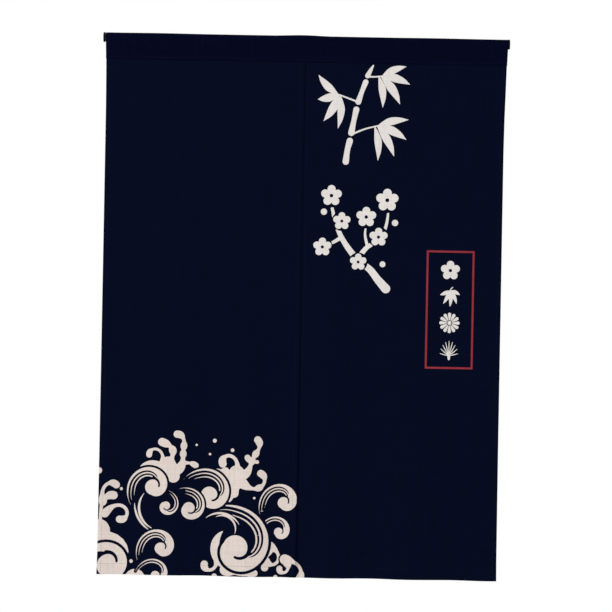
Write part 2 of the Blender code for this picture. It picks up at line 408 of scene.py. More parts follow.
class WaveOrnament:
    """Curling waves and spray, a traditional kind of motif, in the lower left corner.

    The layout follows the photo: how many curls there are, about where they lie, how large
    they are and which way they turn. Places are whole 5 mm and turns whole 10 degrees. The
    shapes themselves come from the formulas above.
    """

    def curls(self) -> dict[str, Curl]:
        """The curls by name, from the backmost one to the front."""
        return {
            "slit": Curl(x=410, y=165, bulb=13, start=210, reach=4.5),
            "slit_low": Curl(x=400, y=100, bulb=10, start=190, lines=1, reach=4.5),
            "great": Curl(x=305, y=65, bulb=27, start=120),
            "right": Curl(x=245, y=180, bulb=18, start=150),
            "inner": Curl(x=200, y=150, bulb=13, start=120),
            "inner_small": Curl(x=150, y=155, bulb=9, start=80, lines=1),
            "left": Curl(x=120, y=195, bulb=17, start=220),
            "corner": Curl(
                x=25, y=20, bulb=25, start=160, lines=0, reach=2.35, sweep=290, band=1.25, meet=0.36
            ),
            "low": Curl(x=140, y=60, bulb=13, start=210, reach=4.5),
            "lowest": Curl(x=130, y=0, bulb=10, start=170, lines=1, reach=4.5),
        }

    def left_spray(self, corner: Curl) -> list[Shape]:
        """The column of foam along the left edge, over the corner curl."""
        fingers = (
            Finger(x=5, y=95, heading=90, length=75, hook=-10, root=44, tip=16),
            Finger(x=10, y=160, heading=60, length=30, hook=-80, root=16, tip=18),
            Finger(x=10, y=165, heading=100, length=60, hook=-150, root=13, tip=16),
            Finger(x=15, y=135, heading=50, length=90, hook=-250, root=18, tip=16),
        )
        lines = [corner.mantle(-0.20, 0.46, 26)] + [finger.line() for finger in fingers]
        return foam(lines, 4) + [Disc(0, 230, 7)]

    def tall_spray(self, left: Curl) -> list[Shape]:
        """The foam that stands on the left curl's back."""
        fingers = (
            Finger(x=165, y=220, heading=110, length=30, hook=10, root=24, tip=32),
            Finger(x=140, y=245, heading=80, length=65, hook=200, root=16, tip=13),
            Finger(x=155, y=245, heading=80, length=65, hook=80, root=20, tip=18, knobs=1, sway=-20),
            Finger(x=175, y=235, heading=40, length=90, hook=150, root=22, tip=16, knobs=2, sway=30),
            Finger(x=190, y=250, heading=0, length=25, hook=-40, root=9, tip=13),
        )
        return foam([left.mantle(0.30, 0.64, 17)] + [finger.line() for finger in fingers], 3.2)

    def right_spray(self, right: Curl) -> list[Shape]:
        """The foam between the right curl and the slit."""
        fingers = (
            Finger(x=300, y=185, heading=80, length=45, hook=10, root=20, tip=34),
            Finger(x=300, y=210, heading=140, length=30, hook=-20, root=32, tip=20),
            Finger(x=305, y=230, heading=80, length=75, hook=220, root=16, tip=17),
            Finger(x=320, y=225, heading=30, length=90, hook=110, root=20, tip=16, knobs=2, sway=30),
            Finger(x=350, y=255, heading=180, length=25, hook=-70, root=8, tip=13),
            Finger(x=315, y=210, heading=-40, length=85, hook=200, root=24, tip=16, knobs=1),
        )
        return foam([right.mantle(0.22, 0.58, 15)] + [finger.line() for finger in fingers], 3.2)

    def lower_spray(self) -> list[Shape]:
        """The foam below and beside the great curl, in three groups."""
        groups = (
            (
                Crescent(x=305, y=65, radius=45, start=130, sweep=150, width=22),
                Finger(x=265, y=40, heading=-90, length=55, hook=-200, root=15, tip=16),
                Finger(x=285, y=15, heading=-20, length=65, hook=40, root=26, tip=15),
            ),
            (
                Finger(x=375, y=70, heading=-20, length=80, hook=-240, root=24, tip=15),
                Finger(x=380, y=60, heading=-110, length=40, hook=20, root=18, tip=16),
            ),
            (
                Finger(x=415, y=40, heading=-10, length=65, hook=-120, root=22, tip=16),
                Finger(x=420, y=35, heading=-70, length=45, hook=-220, root=20, tip=13),
            ),
        )
        made = [Disc(260, 0, 6), Disc(395, 0, 5)]
        for group in groups:
            made += foam([part.line() for part in group], 3.2)
        return made

    def licks(self) -> list[Shape]:
        """The thin crescents inside the great curl."""
        crescents = (
            Crescent(x=270, y=90, radius=50, start=130, sweep=-100, width=5),
            Crescent(x=275, y=105, radius=30, start=120, sweep=-140, width=4.5),
        )
        return foam([crescent.line() for crescent in crescents], 2)

    def ties(self) -> list[Shape]:
        """The two thin crescents that tie the left curl to the low one."""
        crescents = (
            Crescent(x=140, y=150, radius=50, start=140, sweep=110, width=5.5),
            Crescent(x=150, y=160, radius=70, start=180, sweep=60, width=5),
        )
        return foam([crescent.line() for crescent in crescents], 0)

    def droplets(self) -> list[Shape]:
        """The loose drops of spray."""
        rows = (
            (215, 290, 2.6), (255, 300, 4.4), (245, 270, 2.8), (295, 280, 4.0), (345, 175, 2.8),
            (50, 190, 3.4), (75, 30, 4.0),
        )
        return [Disc(x, y, radius) for x, y, radius in rows]

    def shapes(self) -> list[Shape]:
        """All of the ornament, in the order in which it overlaps."""
        curls = self.curls()
        made = self.left_spray(curls["corner"]) + self.tall_spray(curls["left"])
        made += self.right_spray(curls["right"]) + self.lower_spray()
        for name in ("slit", "slit_low", "great"):
            made += curls[name].shapes()
        made += self.licks()
        for name in ("right", "inner", "inner_small", "left"):
            made += curls[name].shapes()
        made += self.ties() + curls["corner"].shapes() + curls["low"].shapes()
        made += [Disc(85, -10, 26, Dye.NAVY), Disc(85, -10, 23)]
        return made + curls["lowest"].shapes() + self.droplets()


class Sprig:
    """The plain brush-painted plants in the upper part of the right panel."""

    def leaf(self, x: float, y: float, tip_x: float, tip_y: float, width: float) -> list:
        """The knots of one leaf, from its stalk to its tip."""
        run_x = tip_x - x
        run_y = tip_y - y
        bow = 0.06
        places = ((0.0, 0.16), (0.18, 0.62), (0.42, 1.0), (0.70, 0.72), (0.90, 0.26), (1.0, 0.03))
        knots = []
        for share, wide in places:
            side = bow * math.sin(math.pi * share)
            knots.append((x + run_x * share - run_y * side, y + run_y * share + run_x * side, width * wide))
        return knots

    def bamboo(self) -> list[Shape]:
        """A bamboo cane with its leaves, about its own middle."""
        canes = [
            [(-37, -107, 14), (-34, -82, 12), (-29, -61, 14)],
            [(-26, -43, 14), (-21, -16, 11), (-16, 9, 13)],
            [(-12, 26, 13), (-5, 48, 10), (3, 70, 12)],
            [(7, 84, 11), (13, 96, 8), (19, 107, 3)],
        ]
        twigs = [
            [(-22, -45, 4), (4, -34, 3.5), (34, -26, 3)],
            [(-14, 26, 4), (-36, 34, 3.5), (-58, 42, 3)],
            [(9, 82, 4), (24, 82, 3.5), (40, 84, 3)],
        ]
        leaves = [
            (34, -26, 100, -12, 17), (36, -28, 96, -56, 19),
            (32, -28, 70, -94, 18), (26, -30, 34, -104, 16),
            (-58, 42, -101, 84, 17), (-58, 42, -102, 30, 18),
            (-56, 40, -88, -18, 19), (-52, 38, -56, -34, 16),
            (40, 84, 92, 106, 16), (40, 84, 101, 66, 18),
            (38, 82, 80, 22, 19), (32, 82, 42, 14, 16),
        ]
        return strokes(canes + twigs + [self.leaf(*row) for row in leaves])

    def blossom(self, x: float, y: float, size: float) -> list[Shape]:
        """A plum blossom with five round petals and an open middle."""
        made = [Disc(x, y, size * 1.05, Dye.NAVY)]
        for number in range(5):
            angle = math.radians(90 + 72 * number)
            petal_x = x + 0.58 * size * math.cos(angle)
            petal_y = y + 0.58 * size * math.sin(angle)
            made.append(Disc(petal_x, petal_y, 0.36 * size))
        made += [Disc(x, y, 0.42 * size), Disc(x, y, 0.16 * size, Dye.NAVY)]
        return made

    def plum(self) -> list[Shape]:
        """A flowering plum branch, about its own middle."""
        wood = [
            [(66, -112, 20), (48, -92, 17), (30, -70, 15), (6, -52, 14), (-14, -30, 13), (-34, 0, 11),
             (-48, 34, 9), (-56, 66, 6), (-58, 88, 2)],
            [(2, -48, 12), (22, -22, 10), (46, -6, 8), (62, 20, 7), (68, 52, 5), (66, 74, 1.5)],
            [(-34, 0, 9), (-58, -14, 6), (-84, -20, 2)],
            [(24, -20, 7), (18, 8, 5), (22, 36, 2)],
        ]
        made = strokes(wood)
        blossoms = (
            (-58, 92, 25), (-34, 36, 21), (66, 84, 27), (48, 2, 22), (-76, -22, 22),
            (20, 46, 24), (4, -54, 20),
        )
        for x, y, size in blossoms:
            made += self.blossom(x, y, size)
        made += [Disc(x, y, radius) for x, y, radius in ((-74, 56, 7), (84, 34, 7), (58, -58, 6.5))]
        return made


@dataclass(frozen=True)
class RedPanel:
    """The upright red frame with four small plain motifs in it."""

    centre_x: float = 770.0
    centre_y: float = 599.6
    width: float = 106
    height: float = 262
    line: float = 4.3

    def frame(self) -> list[Shape]:
        """The frame's red rectangle and the navy one inside it."""
        made = []
        for dye, inset in ((Dye.RED, 0.0), (Dye.NAVY, self.line)):
            half_x = self.width / 2 - inset
            half_y = self.height / 2 - inset
            made.append(Shape(dye, (-half_x, -half_y), (half_x, half_y)))
        return made

    def petals(self, count: int, inner: float, outer: float, width: float) -> list[Shape]:
        """A ring of long petals."""
        rows = []
        for number in range(count):
            angle = 2 * math.pi * number / count + math.pi / 2
            way = (math.cos(angle), math.sin(angle))
            rows.append([(way[0] * r, way[1] * r, w) for r, w in (
                (inner, width * 0.35), ((inner + outer) / 2, width * 0.75), (outer, width)
            )])
        return strokes(rows)

    def pine(self) -> list[Shape]:
        """A spray of pine needles."""
        rows = []
        for number in range(9):
            angle = math.radians(10 + 20 * number)
            reach = 23 - 3 * abs(number - 4) / 4
            rows.append([
                (0, -14, 1.0), (reach * 0.5 * math.cos(angle), -14 + reach * 0.7 * math.sin(angle), 2.1),
                (reach * math.cos(angle), -14 + reach * 1.45 * math.sin(angle), 1.2),
            ])
        rows.append([(0, -21, 5), (0, -15, 6), (0, -11, 5)])
        return strokes(rows)

    def leaves(self) -> list[Shape]:
        """Five bamboo leaves in a fan."""
        sprig = Sprig()
        tips = ((-22, 6), (-15, -14), (0, -21), (15, -14), (22, 6))
        stalk = [(0, 14, 2.5), (2, 19, 2.5), (6, 23, 2.0)]
        return strokes([sprig.leaf(x * 0.1, 15 + y * 0.05, x, y, 8.5) for x, y in tips] + [stalk])

    def shapes(self) -> list[Shape]:
        """The frame and its motifs, from top to bottom."""
        rows = [
            (87, Sprig().blossom(0, 0, 23)),
            (27, self.leaves()),
            (-29, self.petals(12, 7, 19, 7.4) + [Disc(0, 0, 4.4)]),
            (-88, self.pine()),
        ]
        made = self.frame()
        for height, motif in rows:
            made += moved(motif, 0, height)
        return moved(made, self.centre_x, self.centre_y)


def dyes_at(points: np.ndarray, shapes: list[Shape]) -> np.ndarray:
    """Finds the dye at each point.

    Args:
        points: Rows of x and y in the print's millimetres.
        shapes: The print, in the order in which it is painted.

    Returns:
        The number of the dye on top at each point.
    """
    found = np.zeros(len(points), int)
    for shape in shapes:
        near = np.flatnonzero(shape.near(points))
        if len(near):
            found[near[shape.holds(points[near])]] = shape.dye.value
    return found


@dataclass(frozen=True)
class OutlineFinder:
    """Finds the lines along which the print's dye changes, cell by cell of a fine grid."""

    shapes: list[Shape]
    pitch: float = 1.15
    halvings: int = 7

    def crossings(self, start: np.ndarray, end: np.ndarray, first: np.ndarray) -> np.ndarray:
        """Where the dye changes between pairs of points, by halving.

        Args:
            start: The first point of each pair.
            end: The second point of each pair.
            first: The dye's number at each first point.

        Returns:
            A point for each pair.
        """
        for _ in range(self.halvings):
            middle = (start + end) / 2
            same = (dyes_at(middle, self.shapes) == first)[:, None]
            start = np.where(same, middle, start)
            end = np.where(same, end, middle)
        return (start + end) / 2

    def segments(self, low: np.ndarray, high: np.ndarray) -> np.ndarray:
        """The outlines within a box.

        Args:
            low: The box's lower left corner, in the print's millimetres.
            high: Its upper right corner.

        Returns:
            A pair of points for each straight piece of outline.
        """
        columns, rows = (np.ceil((high - low) / self.pitch)).astype(int) + 1
        x = np.linspace(low[0], high[0], columns)
        y = np.linspace(low[1], high[1], rows)
        grid = np.stack(np.meshgrid(x, y), axis=2)
        dyes = dyes_at(grid.reshape(-1, 2), self.shapes).reshape(rows, columns)
        level = self.numbered(dyes[:, 1:] != dyes[:, :-1], 0)
        upright = self.numbered(dyes[1:] != dyes[:-1], level.max() + 1)
        points = np.vstack([
            self.crossings(grid[:, :-1][level >= 0], grid[:, 1:][level >= 0], dyes[:, :-1][level >= 0]),
            self.crossings(grid[:-1][upright >= 0], grid[1:][upright >= 0], dyes[:-1][upright >= 0]),
        ])
        sides = np.stack([level[:-1], level[1:], upright[:, :-1], upright[:, 1:]], axis=2)
        count = (sides >= 0).sum(axis=2)
        pairs = np.sort(sides[count == 2], axis=1)[:, 2:]
        found = [points[pairs]]
        for row, column in np.argwhere(count > 2):
            middle = (grid[row, column] + grid[row + 1, column + 1]) / 2
            ends = points[sides[row, column][sides[row, column] >= 0]]
            found.append(np.stack([ends, np.tile(middle, (len(ends), 1))], axis=1))
        return np.concatenate(found)

    def numbered(self, changes: np.ndarray, first: int) -> np.ndarray:
        """Numbers the true places of a grid from first on, and gives the others -1."""
        numbers = np.full(changes.shape, -1)
        numbers[changes] = first + np.arange(changes.sum())
        return numbers


@dataclass(frozen=True)
class Fold:
    """A soft ridge that runs down a panel, or a trough where its rise is negative."""

    top_x: float
    bottom_x: float
    start: float
    half_width: float
    rise: float

    def rise_at(self, x: np.ndarray, depth: np.ndarray) -> np.ndarray:
        """How far the fold brings the cloth forward."""
        crest = self.top_x + (self.bottom_x - self.top_x) * depth / CLOTH_BOTTOM
        growth = smooth_step((depth - self.start) / (CLOTH_BOTTOM - self.start))
        return self.rise * growth * hump(x - crest, self.half_width)


@dataclass(frozen=True)
class Drag:
    """A faint slanting trough from one end to the other."""

    from_x: float
    from_depth: float
    to_x: float
    to_depth: float
    half_width: float
    sink: float

    # The share of its length that it reaches from its middle, before it fades out
    REACH = 0.75

    def sink_at(self, x: np.ndarray, depth: np.ndarray) -> np.ndarray:
        """How far the trough takes the cloth back."""
        run_x = self.to_x - self.from_x
        run_depth = self.to_depth - self.from_depth
        length = math.hypot(run_x, run_depth)
        share = ((x - self.from_x) * run_x + (depth - self.from_depth) * run_depth) / length**2
        across = ((x - self.from_x) * run_depth - (depth - self.from_depth) * run_x) / length
        return self.sink * hump(share - 0.5, self.REACH) * hump(across, self.half_width)


# Where the curtain's outer edges lie: depth, left and right
EDGE_DEPTHS = (0.037, 0.047, 0.100, 0.160, 0.240, 0.900, 1.140, 1.189)
EDGE_LEFTS = (-0.4434, -0.4432, -0.4425, -0.4420, -0.4420, -0.4421, -0.4425, -0.4436)
EDGE_RIGHTS = (0.4444, 0.4442, 0.4430, 0.4414, 0.4404, 0.4406, 0.4412, 0.4418)


def slit_x(depth: np.ndarray) -> np.ndarray:
    """The middle of the slit at a depth."""
    return SLIT_TOP_X + (SLIT_BOTTOM_X - SLIT_TOP_X) * depth / CLOTH_BOTTOM


def turned_edge(along: np.ndarray, radius: float) -> tuple[np.ndarray, np.ndarray]:
    """Folds a cloth's edge back on itself.

    Args:
        along: Distances on the cloth from the middle of the bend, negative on the flap.
        radius: The bend's radius, to the middle of the cloth.

    Returns:
        The distance from the fold's outermost line, and how far behind the front layer.
    """
    half_bend = math.pi * radius / 2
    angle = np.clip((half_bend - along) / radius, 0, math.pi)
    straight = np.maximum(np.abs(along) - half_bend, 0)
    away = radius + CLOTH_THICKNESS / 2 - radius * np.sin(angle) + straight
    return away, radius * (1 - np.cos(angle))


def new_object(name: str, data: bpy.types.ID) -> bpy.types.Object:
    """Puts a mesh, a light or a camera into the scene as an object at the origin."""
    obj = bpy.data.objects.new(name, data)
    bpy.context.scene.collection.objects.link(obj)
    return obj


def dress(obj: bpy.types.Object, materials: list, slot: str, *nodes: str) -> bpy.types.Object:
    """Gives a finished piece its materials and its body, and hides the imported nodes that it stands for.
    """
    if not obj.data.materials:
        for material in materials:
            obj.data.materials.append(material)
    if nodes:
        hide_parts(*nodes)
    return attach(obj, BODY)


def sheet_object(
    name: str, points: np.ndarray, faces: list, flat: np.ndarray, thickness: float
) -> bpy.types.Object:
    """Makes a smooth sheet of cloth with its own map and its thickness.

    Args:
        name: The piece's name.
        points: Where the middle of the cloth hangs, as rows of x, y and z.
        faces: The numbers of each face's points.
        flat: The flat place of each point.
        thickness: The cloth's thickness, half of it on each side.

    Returns:
        The sheet, whose one modifier is the Solidify.
    """
    mesh = bpy.data.meshes.new(name)
    mesh.from_pydata(points.tolist(), [], faces)
    layer = mesh.uv_layers.new(name=FLAT_MAP)
    corners = np.zeros(len(mesh.loops), np.int32)
    mesh.loops.foreach_get("vertex_index", corners)
    layer.data.foreach_set("uv", flat[corners].astype(np.float32).ravel())
    mesh.shade_smooth()
    obj = new_object(name, mesh)
    solidify = obj.modifiers.new("cloth thickness", "SOLIDIFY")
    solidify.thickness = thickness
    solidify.offset = 0.0
    return obj


def new_material(name: str) -> tuple[bpy.types.Material, bpy.types.NodeTree, bpy.types.Node]:
    """A new material, with its node tree and its Principled shader."""
    material = bpy.data.materials.new(name)
    material.use_nodes = True
    return material, material.node_tree, material.node_tree.nodes["Principled BSDF"]


def add_node(tree: bpy.types.NodeTree, kind: str, settings: dict | None = None, **inputs) -> bpy.types.Node:
    """Adds a node to a tree, with its properties by name and its sockets as wire takes them."""
    node = tree.nodes.new(kind)
    for name, value in (settings or {}).items():
        setattr(node, name, value)
    return wire(tree, node, **inputs)


def wire(tree: bpy.types.NodeTree, node: bpy.types.Node, **inputs) -> bpy.types.Node:
    """Sets and links the sockets of a node.

    Args:
        tree: The node tree.
        node: The node.
        inputs: Its sockets by name, in lower case with underscores, or by place as i0, i1
            and so on. Each is a value or another node's output.

    Returns:
        The node.
    """
    named = {}
    for socket in node.inputs:
        named.setdefault(socket.name.lower().replace(" ", "_"), socket)
    for name, value in inputs.items():
        by_place = name[0] == "i" and name[1:].isdigit()
        socket = node.inputs[int(name[1:])] if by_place else named[name]
        if isinstance(value, bpy.types.NodeSocket):
            tree.links.new(value, socket)
        else:
            socket.default_value = value
    return node


@dataclass(frozen=True)
class WovenCloth:
    """Plain-woven cotton and linen, dyed or printed.

    To the eye it is matt and dry, with fine threads and soft slubs in both directions.
    """

    name: str
    colour: str
    slub_colour: str
    roughness: float = 0.92
    specular: float = 0.02
    relief: float = 1.0

    # Real threads lie about 0.6 mm apart, and are drawn twice as coarse so that they show
    THREAD_PITCH = 0.0012
    SLUB_WIDTH = 0.0035
    SLUB_LENGTH = 0.090

    def build(self) -> bpy.types.Material:
        """Makes the material.

        Returns:
            A Principled material whose threads and slubs follow the cloth's own map.
        """
        material, tree, shader = new_material(self.name)
        flat = add_node(tree, "ShaderNodeUVMap", {"uv_map": FLAT_MAP}).outputs["UV"]
        parts = add_node(tree, "ShaderNodeSeparateXYZ", vector=flat)
        turn = 2 * math.pi / self.THREAD_PITCH
        threads = []
        for part in (parts.outputs["X"], parts.outputs["Y"]):
            angle = add_node(tree, "ShaderNodeMath", {"operation": "MULTIPLY"}, i0=part, i1=turn)
            threads.append(
                add_node(tree, "ShaderNodeMath", {"operation": "SINE"}, i0=angle.outputs[0]).outputs[0]
            )
        weave = add_node(tree, "ShaderNodeMath", {"operation": "MULTIPLY"}, i0=threads[0], i1=threads[1])
        slubs = []
        for stretch in (
            (1 / self.SLUB_WIDTH, 1 / self.SLUB_LENGTH, 1.0),
            (1 / self.SLUB_LENGTH, 1 / self.SLUB_WIDTH, 1.0),
        ):
            place = add_node(
                tree, "ShaderNodeMapping", {"vector_type": "POINT"}, vector=flat, scale=stretch
            )
            noise = add_node(
                tree, "ShaderNodeTexNoise", vector=place.outputs[0], scale=1.0, detail=2.0, roughness=0.55
            )
            slubs.append(noise.outputs["Fac"])
        both = add_node(tree, "ShaderNodeMath", {"operation": "ADD"}, i0=slubs[0], i1=slubs[1])
        lift = add_node(
            tree, "ShaderNodeMapRange", value=both.outputs[0],
            from_min=0.75, from_max=1.30, to_min=0.0, to_max=1.0,
        )
        speck = add_node(
            tree, "ShaderNodeMath", {"operation": "MULTIPLY_ADD"}, i0=weave.outputs[0], i1=0.16,
            i2=lift.outputs[0],
        )
        colour = add_node(
            tree, "ShaderNodeMix", {"data_type": "RGBA"}, factor=speck.outputs[0],
            i6=linear(self.colour), i7=linear(self.slub_colour),
        )
        height = add_node(
            tree, "ShaderNodeMath", {"operation": "MULTIPLY_ADD"}, i0=both.outputs[0], i1=0.9,
            i2=weave.outputs[0],
        )
        bump = add_node(
            tree, "ShaderNodeBump", strength=0.35 * self.relief, distance=0.00018,
            height=height.outputs[0],
        )
        wire(
            tree, shader, base_color=colour.outputs[2], normal=bump.outputs["Normal"],
            roughness=self.roughness, specular_ior_level=self.specular,
        )
        return material


@dataclass(frozen=True)
class HardFinish:
    """A painted or moulded surface with a fine grain and slight rubbing."""

    name: str
    colour: str
    worn_colour: str
    roughness: float
    ior: float
    grain: float
    specular: float = 0.4

    def build(self) -> bpy.types.Material:
        """Makes the material, with its grain in Object coordinates."""
        material, tree, shader = new_material(self.name)
        place = add_node(tree, "ShaderNodeTexCoord").outputs["Object"]
        grain = add_node(
            tree, "ShaderNodeTexNoise", vector=place, scale=1 / self.grain, detail=3.0, roughness=0.6
        )
        rubs = add_node(tree, "ShaderNodeTexNoise", vector=place, scale=90.0, detail=4.0, roughness=0.7)
        worn = add_node(
            tree, "ShaderNodeMapRange", value=rubs.outputs["Fac"],
            from_min=0.48, from_max=0.72, to_min=0.0, to_max=1.0,
        )
        colour = add_node(
            tree, "ShaderNodeMix", {"data_type": "RGBA"}, factor=worn.outputs[0],
            i6=linear(self.colour), i7=linear(self.worn_colour),
        )
        rough = add_node(
            tree, "ShaderNodeMapRange", value=grain.outputs["Fac"],
            to_min=self.roughness - 0.07, to_max=self.roughness + 0.07,
        )
        bump = add_node(
            tree, "ShaderNodeBump", strength=0.12, distance=0.00008, height=grain.outputs["Fac"]
        )
        wire(
            tree, shader, base_color=colour.outputs[2], roughness=rough.outputs[0],
            normal=bump.outputs["Normal"], ior=self.ior, specular_ior_level=self.specular,
        )
        return material


@dataclass
class Finishes:
    """Every material of the curtain, each made once."""

    printed: list = field(default_factory=list)
    heading: bpy.types.Material | None = None
    thread: bpy.types.Material | None = None
    steel: bpy.types.Material | None = None
    plug: bpy.types.Material | None = None

    def build(self) -> None:
        """Makes the materials. The printed cloth has each dye and then each one's reverse side."""
        rows = (
            WovenCloth("cotton_linen_dyed_navy", "#050a1c", "#060c23"),
            WovenCloth("cotton_linen_left_cream", "#d6c9c1", "#e3d7d0", specular=0.08),
            WovenCloth("cotton_linen_printed_red", "#882c36", "#983740", specular=0.05),
            WovenCloth("cotton_linen_left_pale", "#dcd6d2", "#e8e3df", specular=0.08),
            WovenCloth("cotton_linen_navy_reverse", "#0a0f28", "#101736"),
            WovenCloth("cotton_linen_cream_reverse", "#b9b2b2", "#cbc4c2", specular=0.10),
            WovenCloth("cotton_linen_red_reverse", "#6b2c3a", "#7d3845", specular=0.05),
            WovenCloth("cotton_linen_pale_reverse", "#bdb8b8", "#cfcac8", specular=0.10),
        )
        self.printed = [row.build() for row in rows]
        # The heading's navy is darker than the panels' navy: painted shade for the band round the rod,
        # whose front faces down towards the seam.
        self.heading = WovenCloth("cotton_linen_heading_navy", "#04061a", "#060922").build()
        self.thread = WovenCloth(
            "polyester_sewing_thread", "#0a0f28", "#141a3c", roughness=0.55, specular=0.12, relief=0.4
        ).build()
        self.steel = HardFinish(
            "satin_painted_steel", "#05070f", "#0b0e18", roughness=0.42, ior=1.5, grain=0.0006
        ).build()
        self.plug = HardFinish(
            "moulded_matt_polypropylene", "#030409", "#06080f", roughness=0.8, ior=1.49, grain=0.0004,
            specular=0.12,
        ).build()


@dataclass
class Panel:
    """One printed cloth of the curtain, with its hems folded behind it.

    Its flat place is u across from the middle of the left fold, and v up from the middle
    of the bottom fold, both in metres of cloth. The flaps of the hems have values below 0
    and past the front's width.
    """

    name: str
    node: str
    is_left: bool
    folds: tuple
    drags: tuple
    print_x: float
    grid: float = 0.0068
    margin: float = 0.0024

    # How far the panels lap at the slit, how far apart that holds them, and over what width
    LAP = 0.0012
    LAP_FORWARD = 0.0008
    LAP_REACH = 0.035

    FLAP = SIDE_HEM - CLOTH_THICKNESS
    TOP = CLOTH_BOTTOM - HEADING_DEPTH + SEAM_ALLOWANCE

    # The pucker beside a row of stitches: its height, and how far it reaches
    PUCKER = 0.00012
    PUCKER_REACH = 0.005

    # Faint ripples: length, phase and height
    RIPPLES = ((0.061, 0.9, 0.00030), (0.103, 2.3, 0.00035), (0.037, 4.1, 0.00016))

    def edges(self, depth: np.ndarray) -> tuple[np.ndarray, np.ndarray]:
        """The x of the panel's two sides at a depth. The two panels lap below the heading."""
        free = self.below_heading(depth)
        half_gap = SLIT_GAP / 2 - (SLIT_GAP / 2 + self.LAP / 2) * free
        if self.is_left:
            return np.interp(depth, EDGE_DEPTHS, EDGE_LEFTS), slit_x(depth) - half_gap
        return slit_x(depth) + half_gap, np.interp(depth, EDGE_DEPTHS, EDGE_RIGHTS)

    def below_heading(self, depth: np.ndarray) -> np.ndarray:
        """Goes from 0 inside the heading to 1 a little below its edge."""
        return smooth_step((depth - HEADING_DEPTH + 0.007) / 0.012)

    def slit_lap(self, x: np.ndarray, depth: np.ndarray) -> np.ndarray:
        """How far the panel's edge comes forward at the slit, so that the left one laps the right."""
        free = self.below_heading(depth)
        lap = self.LAP_FORWARD if self.is_left else -self.LAP_FORWARD
        return lap * free * hump(x - slit_x(depth), self.LAP_REACH)

    @property
    def width(self) -> float:
        """The hanging panel's width half way down."""
        left, right = self.edges(np.array(CLOTH_BOTTOM / 2))
        return float(right - left)

    @property
    def front(self) -> float:
        """The width of cloth between the middles of the two side folds."""
        half_bend = math.pi * SIDE_BEND_RADIUS / 2
        return self.width - 2 * (SIDE_BEND_RADIUS + CLOTH_THICKNESS / 2) + 2 * half_bend

    @property
    def flat_size(self) -> tuple[float, float]:
        """The cut cloth's width and length."""
        return self.front + 2 * self.FLAP, self.TOP + BOTTOM_HEM

    def hang_y(self, x: np.ndarray, depth: np.ndarray) -> np.ndarray:
        """The front layer's place, where 0 is straight below the rod's axis."""
        y = sum(drag.sink_at(x, depth) for drag in self.drags)
        y = y - sum(fold.rise_at(x, depth) for fold in self.folds) - self.slit_lap(x, depth)
        loose = smooth_step((depth - 0.06) / 0.25)
        for length, phase, height in self.RIPPLES:
            sway = np.sin(2 * math.pi * (x + 0.35 * np.sin(depth * 3.1 + phase) * length) / length + phase)
            y = y + loose * height * sway * np.sin(depth * 5.3 / (1 + length * 4) + 2 * phase)
        return y

    def place(self, flat: np.ndarray) -> np.ndarray:
        """Hangs flat cloth.

        Args:
            flat: Rows of u and v.

        Returns:
            Rows of x, y and z.
        """
        u = flat[:, 0]
        v = flat[:, 1]
        from_left, behind_left = turned_edge(u, SIDE_BEND_RADIUS)
        from_right, behind_right = turned_edge(self.front - u, SIDE_BEND_RADIUS)
        on_left = u < self.front / 2
        across = np.where(on_left, from_left, self.width - from_right)
        behind = np.where(on_left, behind_left, behind_right)
        inner = BOTTOM_BEND_RADIUS - behind
        half_bend = math.pi * BOTTOM_BEND_RADIUS / 2
        angle = np.clip((half_bend - v) / BOTTOM_BEND_RADIUS, 0, math.pi)
        straight = np.maximum(np.abs(v) - half_bend, 0)
        lowest = BOTTOM_BEND_RADIUS + CLOTH_THICKNESS / 2
        depth = CLOTH_BOTTOM - lowest - straight + inner * np.sin(angle)
        left, right = self.edges(depth)
        x = left + (right - left) * across / self.width
        y = self.hang_y(x, depth) + BOTTOM_BEND_RADIUS - inner * np.cos(angle)
        y = y + self.hem_relief(across, depth)
        return np.column_stack([x, y, -depth])

    def hem_relief(self, across: np.ndarray, depth: np.ndarray) -> np.ndarray:
        """The dip along each line of stitches, and the faint pucker that it draws in."""
        side = np.minimum(across, self.width - across)
        relief = np.zeros_like(side)
        rows = (
            (side - (SIDE_HEM - STITCH_INSET), depth, 0.0),
            (CLOTH_BOTTOM - depth - (BOTTOM_HEM - STITCH_INSET), across, 1.7),
        )
        for away, along, phase in rows:
            pucker = np.sin(along / 0.0021 + 1.9 * np.sin(along / 0.017 + phase))
            relief = relief + STITCH_DIP * np.exp(-((away / STITCH_DIP_WIDTH) ** 2))
            relief = relief + self.PUCKER * pucker * np.exp(-((away / self.PUCKER_REACH) ** 2))
        return relief

    def bend_lines(self) -> tuple[list, list]:
        """The values of u and of v at which the cloth bends sharply."""
        side = math.pi * SIDE_BEND_RADIUS / 2
        bottom = math.pi * BOTTOM_BEND_RADIUS / 2
        shares = (-1.0, -0.5, 0.0, 0.5, 1.0)
        us = [share * side for share in shares] + [self.front + share * side for share in shares]
        return us, [share * bottom for share in shares]

    def print_points(self, flat: np.ndarray) -> np.ndarray:
        """Turns flat places to the print's millimetres."""
        return flat / MM + (self.print_x, 0.0)

    def flat_mesh(self, finder: OutlineFinder) -> tuple[np.ndarray, np.ndarray]:
        """Cuts the flat cloth into triangles along the print and the folds.

        Args:
            finder: What finds the print's outlines.

        Returns:
            The flat points, and three point numbers for each triangle.
        """
        us, vs = self.bend_lines()
        low = np.array([-self.FLAP, -BOTTOM_HEM])
        high = np.array([self.front + self.FLAP, self.TOP])
        start = np.array([self.print_x, 0.0])
        segments = finder.segments(low / MM + start, high / MM + start)
        points = list((segments - start).reshape(-1, 2) * MM)
        edges = [(2 * index, 2 * index + 1) for index in range(len(segments))]

        def add_line(begin: tuple, end: tuple) -> None:
            """Adds a straight line with points a grid step apart."""
            count = max(1, round(math.dist(begin, end) / self.grid))
            first = len(points)
            points.extend(np.linspace(begin, end, count + 1))
            edges.extend((first + index, first + index + 1) for index in range(count))

